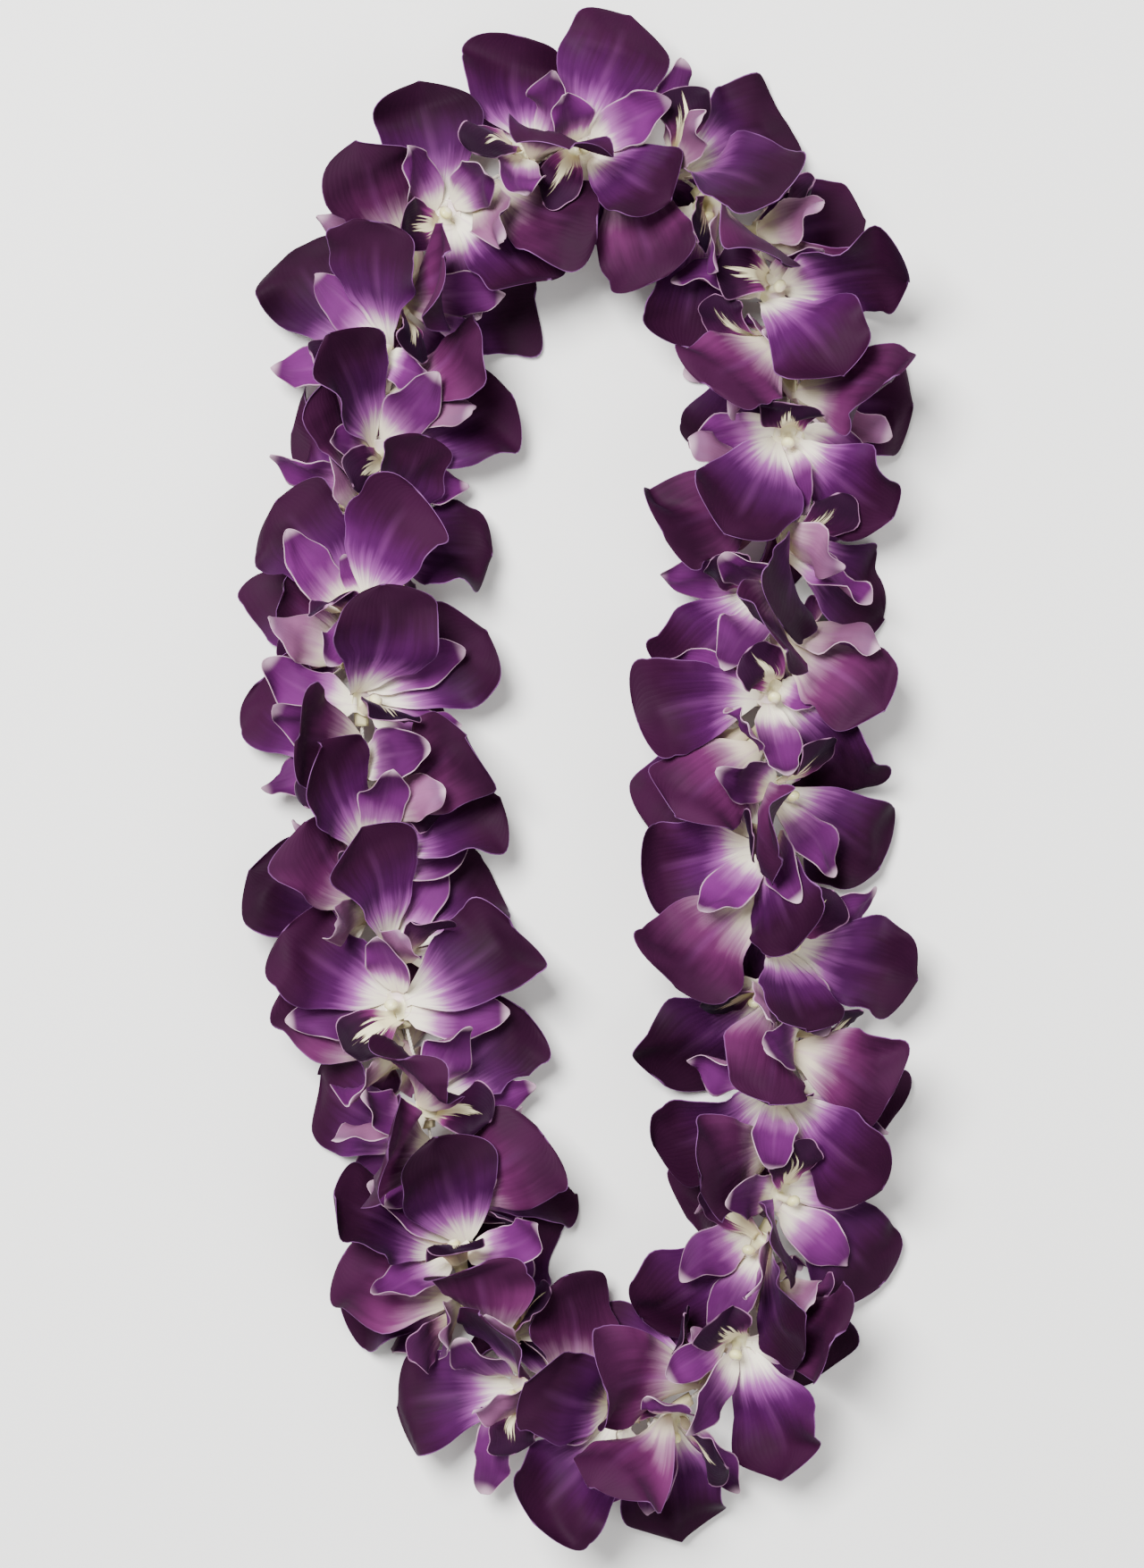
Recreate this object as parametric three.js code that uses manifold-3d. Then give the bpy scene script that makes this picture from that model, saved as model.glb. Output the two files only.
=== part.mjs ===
// A single-strand orchid lei, lying on a table in a long oval.
// Dendrobium blossoms are threaded one after another on a knotted cotton thread. Each has a
// pierced neck, a column, a lip, two broad petals and three narrow sepals.
// Millimetres, +Z up, the table at z = 0, the long way of the oval along Y.
import * as THREE from "three";
import { ConvexGeometry } from "three/addons/geometries/ConvexGeometry.js";
import { mergeVertices } from "three/addons/utils/BufferGeometryUtils.js";
import Module from "manifold-3d";

const wasm = await Module();
wasm.setup();

// The thread's route seen from above, clockwise from the top of the oval
const THREAD_ROUTE = [
  [3, 202], [29, 197], [51, 178], [65, 148], [69, 113], [66, 77], [62, 41], [61, 5], [63, -31],
  [67, -67], [66, -101], [63, -134], [55, -165], [38, -190], [13, -196], [-13, -186],
  [-31, -158], [-41, -122], [-48, -87], [-56, -56], [-62, -23], [-65, 13], [-66, 52],
  [-63, 91], [-59, 127], [-51, 161], [-33, 188],
];
const THREAD_HEIGHT = 16.5;
const THREAD_RADIUS = 0.6;
const THREAD_SIDES = 5;
const NEEDLE_GAP = 0.32;
const KNOT_RADIUS = 1.3;
const KNOT_TAIL = 6;
const KNOT_AFTER_BLOSSOM = 28;

const BLOSSOM_COUNT = 58;
const PETAL_THICKNESS = 0.7;
const CLEARANCE = 0.25;

// Where the weight of the lei presses the blossoms against the table
const PRESS_FROM = 10;
const PRESS_DEPTH = 14;

// How the blossoms turn on the thread, in degrees, and where they sit between their neighbours
const ROLL_STEP = 137.5;
const MOST_ROLL = 112;
const ROLL_SPREAD = 30;
const FACE_TILT = 70;
const FACE_TILT_SPREAD = 30;
const FACE_SPIN_SPREAD = 50;
const STATION_SPREAD = 0.1;

// The throat, which carries the blades on its rim, the neck behind it and the column
const THROAT_RADIUS = 4.6;
const THROAT_ABOVE_THREAD = 2.5;
const THROAT_FRONT = 4.6;
const NECK_RADIUS = 3;
const NECK_LENGTH = 7.8;
const COLUMN_RADIUS = 1.7;
const COLUMN_TOP_RADIUS = 2.2;
const COLUMN_FOOT = -0.3;
const COLUMN_LENGTH = 7;

// Size and carriage of each kind of blade. Angles are in degrees and lengths in millimetres, and
// a pair is a mean and its whole spread. open is the angle from the way the face looks, curl how
// far the blade bends back over its length, sway how far it bends sideways, cup half the arc of
// its cross-section, and lean how far it is pushed forward along the thread.
const BLADES = {
  petal: {
    length: 40, halfWidth: 15, rootHalfWidth: 1.6, rise: 0.95, fall: 0.4, rootLift: -0.2,
    open: [50, 20], curl: [26, 40], sway: [8, 20], twist: [0, 36], cup: [16, 44],
    ruffle: [1.4, 1.6], lean: [0.4, 0.3], stub: 0.2, rows: [[0, 2], [0.26, 3], [0.58, 3], [0.88, 3]],
  },
  dorsal: {
    length: 31, halfWidth: 6.8, rootHalfWidth: 1.7, rise: 0.8, fall: 0.8, rootLift: 0.8,
    open: [34, 20], curl: [10, 50], sway: [0, 24], twist: [0, 40], cup: [16, 50],
    ruffle: [0.4, 0.6], lean: [0.1, 0.2], stub: 0.15, rows: [[0, 2], [0.36, 3], [0.74, 2]],
  },
  lateral: {
    length: 30, halfWidth: 7, rootHalfWidth: 1.7, rise: 0.7, fall: 0.8, rootLift: -0.9,
    open: [64, 24], curl: [16, 50], sway: [0, 24], twist: [0, 40], cup: [22, 46],
    ruffle: [0.5, 0.6], lean: [0.3, 0.4], stub: 0.15, rows: [[0, 2], [0.36, 3], [0.74, 2]],
  },
  lip: {
    length: 22, halfWidth: 8, rootHalfWidth: 2.4, rise: 1.1, fall: 0.4, rootLift: 0.3,
    open: [20, 14], curl: [70, 40], sway: [0, 16], twist: [0, 16], cup: [60, 16],
    ruffle: [0.8, 0.8], lean: [0, 0.1], stub: 0.18, rows: [[0, 2], [0.36, 3], [0.78, 3]],
  },
};
// The blades round the face of one blossom, by their angle from the dorsal sepal
const FLOWER = [
  { kind: "dorsal", around: 0, side: 1 },
  { kind: "petal", around: 60, side: 1 },
  { kind: "lateral", around: 118, side: 1 },
  { kind: "lip", around: 180, side: 1 },
  { kind: "lateral", around: 242, side: -1 },
  { kind: "petal", around: 300, side: -1 },
];
// The broad blades find their room first
const PLACING_ORDER = [[1, 5], [3], [0], [2, 4]];
const SEED = 29;
const BREADTH = 86;
const SQUARE = 4;
const MIDRIB_STEPS = 24;
const FREE_DRAWS = 48;
const MOST_DRAWS = 240;
const SHORTEST = 0.4;
const STUB_SHARES = [1, 0.7, 0.5, 0.35];

const FLOWERS = Array.from({ length: BLOSSOM_COUNT }, (_, i) => i);
const UP = new THREE.Vector3(0, 0, 1);
const radians = THREE.MathUtils.degToRad;
const { Manifold, Mesh } = wasm;

// A number from 0 to 1 that depends only on its four whole-number keys
function draw(blossom, blade, item, attempt) {
  let h = Math.imul(blossom + SEED, 374761393) ^ Math.imul(blade + 7, 668265263);
  h ^= Math.imul(item + 13, 2246822519) ^ Math.imul(attempt + 29, 3266489917);
  h = Math.imul(h ^ (h >>> 15), 0x2c1b3c6d);
  h = Math.imul(h ^ (h >>> 12), 0x297a2d39);
  return ((h ^ (h >>> 15)) >>> 0) / 4294967296;
}
const centred = (...keys) => draw(...keys) - 0.5;

const route = new THREE.CatmullRomCurve3(
  THREAD_ROUTE.map(([x, y]) => new THREE.Vector3(x, y, THREAD_HEIGHT)), true, "catmullrom", 0.5,
);

const ROUTE_LENGTH = route.getLength();

// The place that lies a distance along the thread, and the thread's way there
function threadPlace(distance) {
  const share = distance / ROUTE_LENGTH;
  const at = share - Math.floor(share);
  const along = route.getTangentAt(at);
  return { centre: route.getPointAt(at), along, inward: along.clone().cross(UP).normalize() };
}

// Where a blossom sits on the thread. The thread runs straight through its neck.
function stationOf(blossom) {
  const place = blossom + STATION_SPREAD * centred(blossom, 0, 90, 0);
  const middle = place * ROUTE_LENGTH / BLOSSOM_COUNT;
  return { rear: middle - NECK_LENGTH, front: middle + THROAT_FRONT };
}

const blend = (a, ka, b, kb) => a.clone().multiplyScalar(ka).addScaledVector(b, kb);

// The frame of one blossom: its place on the thread and the way its face looks
function blossomFrame(blossom) {
  const { rear, front } = stationOf(blossom);
  const neckEnd = threadPlace(rear).centre;
  const along = threadPlace(front).centre.sub(neckEnd).normalize();
  const centre = neckEnd.clone().addScaledVector(along, NECK_LENGTH);
  const inward = along.clone().cross(UP).normalize();
  const turn = (ROLL_STEP * blossom) % 360;
  const roll = radians((turn > 180 ? turn - 360 : turn) * MOST_ROLL / 180
    + ROLL_SPREAD * centred(blossom, 0, 91, 0));
  const tilt = radians(FACE_TILT + FACE_TILT_SPREAD * centred(blossom, 0, 92, 0));
  const spin = radians(FACE_SPIN_SPREAD * centred(blossom, 0, 93, 0));
  const out = blend(UP, Math.cos(roll), inward, Math.sin(roll));
  const face = blend(along, Math.cos(tilt), out, Math.sin(tilt));
  const crown = blend(along, Math.sin(tilt), out, -Math.cos(tilt));
  const beside = face.clone().cross(crown);
  const dorsal = blend(crown, Math.cos(spin), beside, Math.sin(spin));
  const flank = face.clone().cross(dorsal);
  const lift = THROAT_ABOVE_THREAD + THROAT_RADIUS * Math.cos(tilt);
  const heart = centre.clone().addScaledVector(out, lift);
  return { centre, neckEnd, along, out, beside, face, dorsal, flank, heart };
}

// A direction in the plane of a blossom's face, by its angle from the dorsal sepal
const spoke = (frame, angle) =>
  blend(frame.dorsal, Math.cos(angle), frame.flank, Math.sin(angle));

// The carriage of one blade at one attempt. Each attempt bends the blade another way, and the
// last ones also make it smaller.
function carriage(blossom, index, attempt) {
  const { kind, around, side } = FLOWER[index];
  const form = BLADES[kind];
  const loose = Math.min(attempt / 24, 1);
  const pick = (item, [mean, spread], more = 0) => mean
    + spread * centred(blossom, index, item, 0)
    + more * loose * centred(blossom, index, item, attempt);
  const late = Math.max(0, attempt - FREE_DRAWS) / (MOST_DRAWS - FREE_DRAWS);
  const shrink = 1 - (1 - SHORTEST) * late;
  return {
    form,
    root: radians(around),
    around: radians(around + pick(0, [0, 16], 100)),
    open: radians(pick(1, form.open, 80)),
    curl: radians(pick(2, form.curl, 80)),
    sway: radians(side * pick(3, form.sway, 30)),
    twist: radians(pick(4, form.twist, 90)),
    cup: radians(pick(5, form.cup, 30)),
    ruffle: pick(6, form.ruffle),
    wave: 2 * Math.PI * draw(blossom, index, 7, 0),
    lean: pick(8, form.lean, 0.9),
    length: form.length * shrink * (1 + 0.14 * centred(blossom, index, 9, 0)),
    halfWidth: form.halfWidth * Math.sqrt(shrink) * (1 + 0.12 * centred(blossom, index, 10, 0)),
  };
}

// A short straight blade, in the room that is kept for it
function stubCarriage(blossom, index, share) {
  const c = carriage(blossom, index, 0);
  const { stub, rootHalfWidth } = c.form;
  return { ...c, length: c.length * stub * share, halfWidth: rootHalfWidth,
    curl: 0, sway: 0, twist: 0, cup: 0, ruffle: 0, lean: 0 };
}

// Half the width of a blade at a share of its length
function halfWidthAt(c, share) {
  const { rise, fall, rootHalfWidth } = c.form;
  const outline = (s) => s ** rise * (1 - s) ** fall;
  const widest = outline(rise / (rise + fall));
  return rootHalfWidth * (1 - share) ** 1.5 + c.halfWidth * outline(share) / widest;
}

// Points below the press line settle towards the table without passing through each other
function pressed(point) {
  const depth = PRESS_FROM - point.z;
  if (depth > 0) {
    const settled = PRESS_FROM - PRESS_DEPTH * (1 - Math.exp(-depth / PRESS_DEPTH));
    point.z = Math.max(settled, PETAL_THICKNESS / 2);
  }
  return point;
}

// The midrib of a blade: places and axes at even steps along it
function midrib(frame, c) {
  const ribs = [];
  const place = frame.heart.clone().addScaledVector(spoke(frame, c.root), THROAT_RADIUS)
    .addScaledVector(frame.face, c.form.rootLift);
  for (let i = 0; i <= MIDRIB_STEPS; i++) {
    const s = i / MIDRIB_STEPS;
    const open = c.open + c.curl * s ** 1.4;
    const around = c.around + c.sway * s;
    const heading = blend(frame.face, Math.cos(open), spoke(frame, around), Math.sin(open))
      .addScaledVector(frame.along, c.lean * s).normalize();
    const across = spoke(frame, around + Math.PI / 2);
    across.addScaledVector(heading, -across.dot(heading)).normalize();
    ribs.push({ place: place.clone(), across, upper: heading.clone().cross(across) });
    place.addScaledVector(heading, c.length / MIDRIB_STEPS);
  }
  return ribs;
}

// A point of the blade's middle surface: share runs from root to tip, and w from -1 to 1 across
function bladePoint(ribs, c, share, w) {
  const low = Math.min(Math.floor(share * MIDRIB_STEPS), MIDRIB_STEPS - 1);
  const mix = share * MIDRIB_STEPS - low;
  const between = (key) => ribs[low][key].clone().lerp(ribs[low + 1][key], mix);
  const half = halfWidthAt(c, share);
  const arc = c.form === BLADES.lip
    ? c.cup * Math.max(0, 1 - share / 0.62) - 0.25 * share
    : c.cup * (1 - 0.35 * share);
  const bend = Math.abs(arc) < 0.02 ? 0.02 : arc;
  const sideways = half * Math.sin(w * bend) / bend;
  const ruffle = c.ruffle * Math.abs(w) ** 1.6 * share * Math.sin(9 * share + c.wave + 2.2 * w);
  const lift = half * (1 - Math.cos(w * bend)) / bend + ruffle;
  const turn = c.twist * share;
  const [cos, sin] = [Math.cos(turn), Math.sin(turn)];
  return pressed(between("place")
    .addScaledVector(between("across").normalize(), sideways * cos - lift * sin)
    .addScaledVector(between("upper").normalize(), sideways * sin + lift * cos));
}

// Triangles between two rows of points across a blade, of one to three points each
function strip(a, countA, b, countB) {
  const faces = [];
  let [i, j] = [0, 0];
  while (i + 1 < countA || j + 1 < countB) {
    const rootFirst = j + 1 === countB
      || (i + 1 < countA && (i + 0.5) / (countA - 1) < (j + 0.5) / (countB - 1));
    if (rootFirst) faces.push([a + i, b + j, a + i++ + 1]);
    else faces.push([a + i, b + j, b + j++ + 1]);
  }
  return faces;
}

// A blade as two like faces, the same thickness apart everywhere, with each row's own number of
// points across
function bladeShell(frame, c, from = 0) {
  const ribs = midrib(frame, c);
  const rows = c.form.rows.filter(([s]) => s >= from).map(([s, count]) =>
    Array.from({ length: count }, (_, j) => bladePoint(ribs, c, s, (2 * j) / (count - 1) - 1)));
  rows.push([bladePoint(ribs, c, 1, 0)]);
  const first = rows.map((_, r) => rows.slice(0, r).reduce((n, row) => n + row.length, 0));
  const points = rows.flat();
  const faces = rows.slice(1).flatMap((row, r) =>
    strip(first[r], rows[r].length, first[r + 1], row.length));
  const last = rows.length - 1;
  const left = rows.map((_, r) => first[r]);
  const right = rows.map((row, r) => first[r] + row.length - 1);
  const rim = [];
  for (let r = 0; r < last; r++) rim.push([left[r], left[r + 1]], [right[r + 1], right[r]]);
  const rootEdges = [];
  for (let j = rows[0].length - 1; j > 0; j--) rootEdges.push([j, j - 1]);

  const normals = points.map(() => new THREE.Vector3());
  for (const face of faces) {
    const [a, b, d] = face.map((i) => points[i]);
    const normal = b.clone().sub(a).cross(d.clone().sub(a));
    face.forEach((i) => normals[i].add(normal));
  }
  const thick = (way) => points.map((p, i) => {
    const q = p.clone().addScaledVector(normals[i].clone().normalize(), way * PETAL_THICKNESS / 2);
    q.z = Math.max(q.z, 0);
    return q;
  });
  return { vertices: [...thick(1), ...thick(-1)], count: points.length, faces, rim, rootEdges };
}

// Both faces of a blade and the rim between them, with the first vertex's number added
function shellTriangles({ count, faces }, edges, add = 0) {
  return [
    ...faces,
    ...faces.map(([a, b, d]) => [b + count, a + count, d + count]),
    ...edges.flatMap(([a, b]) => [[b, a, a + count], [b, a + count, b + count]]),
  ].map((t) => t.map((i) => i + add));
}

function solidOf(vertices, triangles) {
  return new Manifold(new Mesh({
    numProp: 3,
    vertProperties: new Float32Array(vertices.flatMap((p) => [p.x, p.y, p.z])),
    triVerts: new Uint32Array(triangles.flat()),
  }));
}

const bladeSolid = (shell) =>
  solidOf(shell.vertices, shellTriangles(shell, [...shell.rim, ...shell.rootEdges]));

// A three.js shape as a solid, with its shared corners merged
function solidFrom(shape) {
  shape.deleteAttribute("normal");
  shape.deleteAttribute("uv");
  const merged = mergeVertices(shape, 1e-4);
  return new Manifold(new Mesh({
    numProp: 3,
    vertProperties: merged.getAttribute("position").array,
    triVerts: new Uint32Array(merged.getIndex().array),
  }));
}

const hullOf = (points) => solidFrom(new ConvexGeometry(points));

// Points round an axis, in the order of the blades
function ring(count, centre, across, beside, radius) {
  return Array.from({ length: count }, (_, k) => {
    const angle = (2 * Math.PI * k) / count;
    return blend(across, radius * Math.cos(angle), beside, radius * Math.sin(angle)).add(centre);
  });
}

// The end of the neck, the foot of the column and its three-cornered top
function heartRings(frame) {
  const { neckEnd, out, beside, face, dorsal, flank, heart } = frame;
  const columnAt = (y) => heart.clone().addScaledVector(face, y);
  return {
    neck: ring(3, neckEnd, out.clone().negate(), beside, NECK_RADIUS),
    column: ring(6, columnAt(COLUMN_FOOT), dorsal, flank, COLUMN_RADIUS),
    columnTop: ring(3, columnAt(COLUMN_LENGTH), dorsal, flank, COLUMN_TOP_RADIUS),
  };
}

// The room that a blossom's throat, neck and column take
function heartRoom(frame) {
  const { neck, column, columnTop } = heartRings(frame);
  const rim = FLOWER.flatMap(({ kind, around }) => {
    const { rootHalfWidth, rootLift } = BLADES[kind];
    const root = frame.heart.clone().addScaledVector(spoke(frame, radians(around)), THROAT_RADIUS);
    const side = spoke(frame, radians(around) + Math.PI / 2);
    return [[-1, -0.4], [-1, 0.4], [1, -0.4], [1, 0.4]].map(([w, lift]) => root.clone()
      .addScaledVector(side, w * rootHalfWidth).addScaledVector(frame.face, rootLift + lift));
  });
  return hullOf([...rim, ...neck]).add(hullOf([...column, ...columnTop]));
}

// The first stretch of a blade at its first draw, which all other blades keep clear of
function bladeStub(frame, blossom, index) {
  const c = carriage(blossom, index, 0);
  const ribs = midrib(frame, c);
  return hullOf([0, c.form.stub].flatMap((s) => {
    const { place, across, upper } = ribs[Math.round(s * MIDRIB_STEPS)];
    const half = c.form.rootHalfWidth * (1 + 6 * s);
    return [[-1, -1], [-1, 1], [1, -1], [1, 1]].map(([w, h]) => pressed(place.clone()
      .addScaledVector(across, w * half).addScaledVector(upper, 0.6 * h)));
  }));
}

// One blossom as one closed surface: the blades grow from the rim of the throat
function blossomSolid(frame, shells) {
  const vertices = [];
  const triangles = [];
  const addPoints = (points) => points.map((p) => vertices.push(p) - 1);
  const rings = heartRings(frame);
  const [neck, column, columnTop] = [rings.neck, rings.column, rings.columnTop].map(addPoints);
  const roots = shells.map((shell) => {
    const add = vertices.length;
    addPoints(shell.vertices);
    triangles.push(...shellTriangles(shell, shell.rim, add));
    const under = add + shell.count;
    return { left: add, right: add + 1, leftUnder: under, rightUnder: under + 1 };
  });
  roots.forEach((root, k) => {
    const next = (k + 1) % roots.length;
    const { left, right, leftUnder, rightUnder } = root;
    const [nextLeft, nextUnder] = [roots[next].left, roots[next].leftUnder];
    const [corner, nextCorner] = [k, k + 1].map((at) => Math.floor((at + 1) / 2) % 3);
    triangles.push(
      [left, right, column[k]], [right, nextLeft, column[next]], [right, column[next], column[k]],
      [nextLeft, right, rightUnder], [nextLeft, rightUnder, nextUnder],
      [column[k], column[next], columnTop[corner]],
      [rightUnder, leftUnder, neck[corner]], [nextUnder, rightUnder, neck[corner]],
    );
    if (corner !== nextCorner) {
      triangles.push([column[next], columnTop[nextCorner], columnTop[corner]]);
      triangles.push([nextUnder, neck[corner], neck[nextCorner]]);
    }
  });
  triangles.push(columnTop, [...neck].reverse());
  return solidOf(vertices, triangles);
}

// A closed tube round the whole route, straight between the two ends of each neck
function threadTube(radius) {
  const rings = FLOWERS.flatMap((blossom) => {
    const { rear, front } = stationOf(blossom);
    return [threadPlace(rear), threadPlace(front)];
  });
  const vertices = [];
  const triangles = [];
  rings.forEach(({ centre, inward }, i) => {
    const next = (((i + 1) % rings.length) - i) * THREAD_SIDES;
    for (let k = 0; k < THREAD_SIDES; k++) {
      const angle = (2 * Math.PI * k) / THREAD_SIDES;
      vertices.push(blend(UP, radius * Math.cos(angle), inward, radius * Math.sin(angle)).add(centre));
      const [a, b] = [i * THREAD_SIDES + k, i * THREAD_SIDES + ((k + 1) % THREAD_SIDES)];
      triangles.push([a, b, a + next], [b, b + next, a + next]);
    }
  });
  return solidOf(vertices, triangles);
}

// The needle's hole through one neck
function needleHole({ neckEnd, along, out, beside }) {
  const corners = [0, 1, 2, 3].map((k) => Math.PI / 4 + k * Math.PI / 2);
  const reach = Math.SQRT2 * (THREAD_RADIUS + NEEDLE_GAP);
  return hullOf([-1, NECK_LENGTH + THROAT_FRONT].flatMap((y) => corners.map((angle) =>
    blend(out, reach * Math.cos(angle), beside, reach * Math.sin(angle))
      .add(neckEnd).addScaledVector(along, y))));
}

// The knot that closes the thread, with its two short tails
function knotSolid(spare) {
  const middle = (stationOf(KNOT_AFTER_BLOSSOM).front + stationOf(KNOT_AFTER_BLOSSOM + 1).rear) / 2;
  const { centre, along, inward } = threadPlace(middle);
  let knot = solidFrom(new THREE.IcosahedronGeometry(KNOT_RADIUS + spare, 0)
    .translate(centre.x, centre.y, centre.z));
  for (const side of [-1, 1]) {
    const way = blend(inward, 0.8 * side, UP, 0.6);
    const tip = centre.clone().addScaledVector(way, KNOT_TAIL);
    const beside = way.clone().cross(along);
    knot = knot.add(hullOf([centre, tip].flatMap((end) =>
      ring(THREAD_SIDES, end, along, beside, 0.8 * THREAD_RADIUS + spare))));
  }
  return knot;
}

const boxes = new WeakMap();
function boxOf(solid) {
  if (!boxes.has(solid)) boxes.set(solid, solid.boundingBox());
  return boxes.get(solid);
}
const boxesMeet = (a, b) => [0, 1, 2].every((k) =>
  boxOf(a).min[k] < boxOf(b).max[k] + CLEARANCE && boxOf(b).min[k] < boxOf(a).max[k] + CLEARANCE);
const closer = (a, b, gap) => boxesMeet(a, b) && a.minGap(b, 2 * gap) < gap;

const frames = FLOWERS.map(blossomFrame);
const rooms = frames.map(heartRoom);
const growing = frames.map((frame, i) =>
  FLOWER.map((_, index) => ({ solid: bladeStub(frame, i, index) })));
const guard = threadTube(THREAD_RADIUS + NEEDLE_GAP);
const knotGuard = knotSolid(NEEDLE_GAP);

// True if a blade keeps clear of the thread, of its own blossom and of all the others
function hasRoom(blossom, index, solid, outer) {
  if (closer(solid, guard, 0.05) || closer(solid, knotGuard, 0.05)) return false;
  if (outer && closer(outer, rooms[blossom], 0.1)) return false;
  return growing.every((blades, i) => i === blossom
    ? blades.every((own, k) => k === index || !closer(solid, own.solid, 0.1))
    : !closer(solid, rooms[i], CLEARANCE)
      && blades.every((other) => !closer(solid, other.solid, CLEARANCE)));
}

// The squares of the table that a blade hides from above, within the breadth of the lei
function squaresUnder(blossom, c) {
  const { centre, along } = frames[blossom];
  const ribs = midrib(frames[blossom], c);
  const squares = new Set();
  for (let s = 0.1; s < 1; s += 0.1) {
    for (let w = -1; w <= 1; w += 0.4) {
      const { x, y } = bladePoint(ribs, c, s, w);
      const off = Math.abs((x - centre.x) * along.y - (y - centre.y) * along.x);
      if (off < BREADTH / 2) squares.add(`${Math.floor(x / SQUARE)} ${Math.floor(y / SQUARE)}`);
    }
  }
  return squares;
}

// A blade that finds no other room stays the longest straight stub that keeps clear
function placeStub(blossom, index) {
  let stub;
  for (const share of STUB_SHARES) {
    const shell = bladeShell(frames[blossom], stubCarriage(blossom, index, share));
    stub = { shell, solid: bladeSolid(shell) };
    if (hasRoom(blossom, index, stub.solid)) break;
  }
  return stub;
}

// Gives a blade the carriage with room that hides most of what is still bare
function placeBlade(blossom, index) {
  const frame = frames[blossom];
  let best = null;
  for (let attempt = 0; attempt < MOST_DRAWS && !(best && attempt >= FREE_DRAWS); attempt++) {
    const c = carriage(blossom, index, attempt);
    const squares = [...squaresUnder(blossom, c)].filter((square) => !hidden.has(square));
    if (best && squares.length <= best.squares.length) continue;
    const shell = bladeShell(frame, c);
    const solid = bladeSolid(shell);
    const outer = bladeSolid(bladeShell(frame, c, 0.2));
    if (hasRoom(blossom, index, solid, outer)) best = { shell, solid, squares };
  }
  if (best) {
    best.squares.forEach((square) => hidden.add(square));
    return best;
  }
  return placeStub(blossom, index);
}

const hidden = new Set();
for (const turn of PLACING_ORDER) {
  for (const blossom of FLOWERS) {
    for (const index of turn) growing[blossom][index] = placeBlade(blossom, index);
  }
}
const lei = new THREE.Group();
lei.name = "orchid_lei";

function addNode(name, solid, finish) {
  const mesh = solid.getMesh();
  const geometry = new THREE.BufferGeometry();
  geometry.setAttribute("position", new THREE.BufferAttribute(mesh.vertProperties, 3));
  geometry.setIndex(new THREE.BufferAttribute(mesh.triVerts, 1));
  const node = new THREE.Mesh(geometry, new THREE.MeshStandardMaterial(finish));
  node.name = name;
  lei.add(node);
}

const cotton = { color: 0xd9d3c0, roughness: 0.9, metalness: 0 };
const purple = { color: 0x55256b, roughness: 0.55, metalness: 0 };

addNode("thread", threadTube(THREAD_RADIUS).add(knotSolid(0)), cotton);
frames.forEach((frame, i) => {
  const whole = blossomSolid(frame, growing[i].map(({ shell }) => shell));
  const number = String(i + 1).padStart(2, "0");
  addNode("blossom_" + number, whole.subtract(needleHole(frame)), purple);
});

// The middle of the lei stands over the origin
const bounds = new THREE.Box3().setFromObject(lei);
lei.position.copy(bounds.getCenter(new THREE.Vector3()).setZ(bounds.min.z).negate());

export default lei;
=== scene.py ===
# %% [markdown]
# # A fresh orchid lei
# A lei is a garland of fresh blossoms on a thread. This one is strung from dendrobium orchids,
# pushed on neck first, so each sits in the petals of the one before it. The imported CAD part
# holds the real sizes, with every petal as a few flat facets. The lesson bends each petal again
# by the same rule with many more points, then colours it with shader nodes.

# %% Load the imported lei
import math

import bpy
import numpy as np
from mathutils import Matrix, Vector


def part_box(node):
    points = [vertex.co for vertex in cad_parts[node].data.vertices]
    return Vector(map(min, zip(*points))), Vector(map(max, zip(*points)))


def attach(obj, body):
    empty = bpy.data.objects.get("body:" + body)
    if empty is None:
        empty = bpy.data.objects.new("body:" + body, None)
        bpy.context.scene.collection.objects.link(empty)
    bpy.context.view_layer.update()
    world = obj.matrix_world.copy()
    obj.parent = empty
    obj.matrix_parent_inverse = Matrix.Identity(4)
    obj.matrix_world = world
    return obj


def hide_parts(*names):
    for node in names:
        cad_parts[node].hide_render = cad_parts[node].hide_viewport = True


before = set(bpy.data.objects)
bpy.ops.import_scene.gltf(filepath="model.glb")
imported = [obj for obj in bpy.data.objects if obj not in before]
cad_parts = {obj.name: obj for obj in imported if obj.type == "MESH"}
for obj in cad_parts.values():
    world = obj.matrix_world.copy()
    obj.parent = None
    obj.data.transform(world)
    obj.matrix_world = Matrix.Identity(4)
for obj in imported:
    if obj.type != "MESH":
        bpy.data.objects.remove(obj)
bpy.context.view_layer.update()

# %% [markdown]
# ## Camera
# The lei was photographed from straight above, so the camera looks straight down. A long lens
# from over a metre away shows the highest petals only a little larger than those on the table.

# %% Hang the camera over the lei
MM = 0.001
PICTURE_WIDTH = 355.6 * MM
PETAL_HEIGHT = 30 * MM
CAMERA_HEIGHT = 1.3
PICTURE_CENTRE = (-2.0 * MM, -2.2 * MM)
SENSOR_WIDTH = 36


def new_object(name, data):
    """An object in the scene that shows this mesh, lamp or camera."""
    made = bpy.data.objects.new(name, data)
    bpy.context.scene.collection.objects.link(made)
    return made


camera_data = bpy.data.cameras.new("camera_above")
camera_data.sensor_fit = "HORIZONTAL"
camera_data.sensor_width = SENSOR_WIDTH
camera_data.lens = SENSOR_WIDTH * (CAMERA_HEIGHT - PETAL_HEIGHT) / PICTURE_WIDTH
camera_data.clip_start = 0.01
camera = new_object("camera_above", camera_data)
camera.location = (*PICTURE_CENTRE, CAMERA_HEIGHT)
bpy.context.scene.camera = camera
print("lens", round(camera_data.lens, 1), "mm")

# %% [markdown]
# ## Floor and light
# A pale table stands for the studio. Soft light comes from a wide panel overhead, a little
# to the upper left as in the picture, with a weak one across from it. Wide panels give soft
# edges of shadow and leave the gaps between petals dark.

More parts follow.
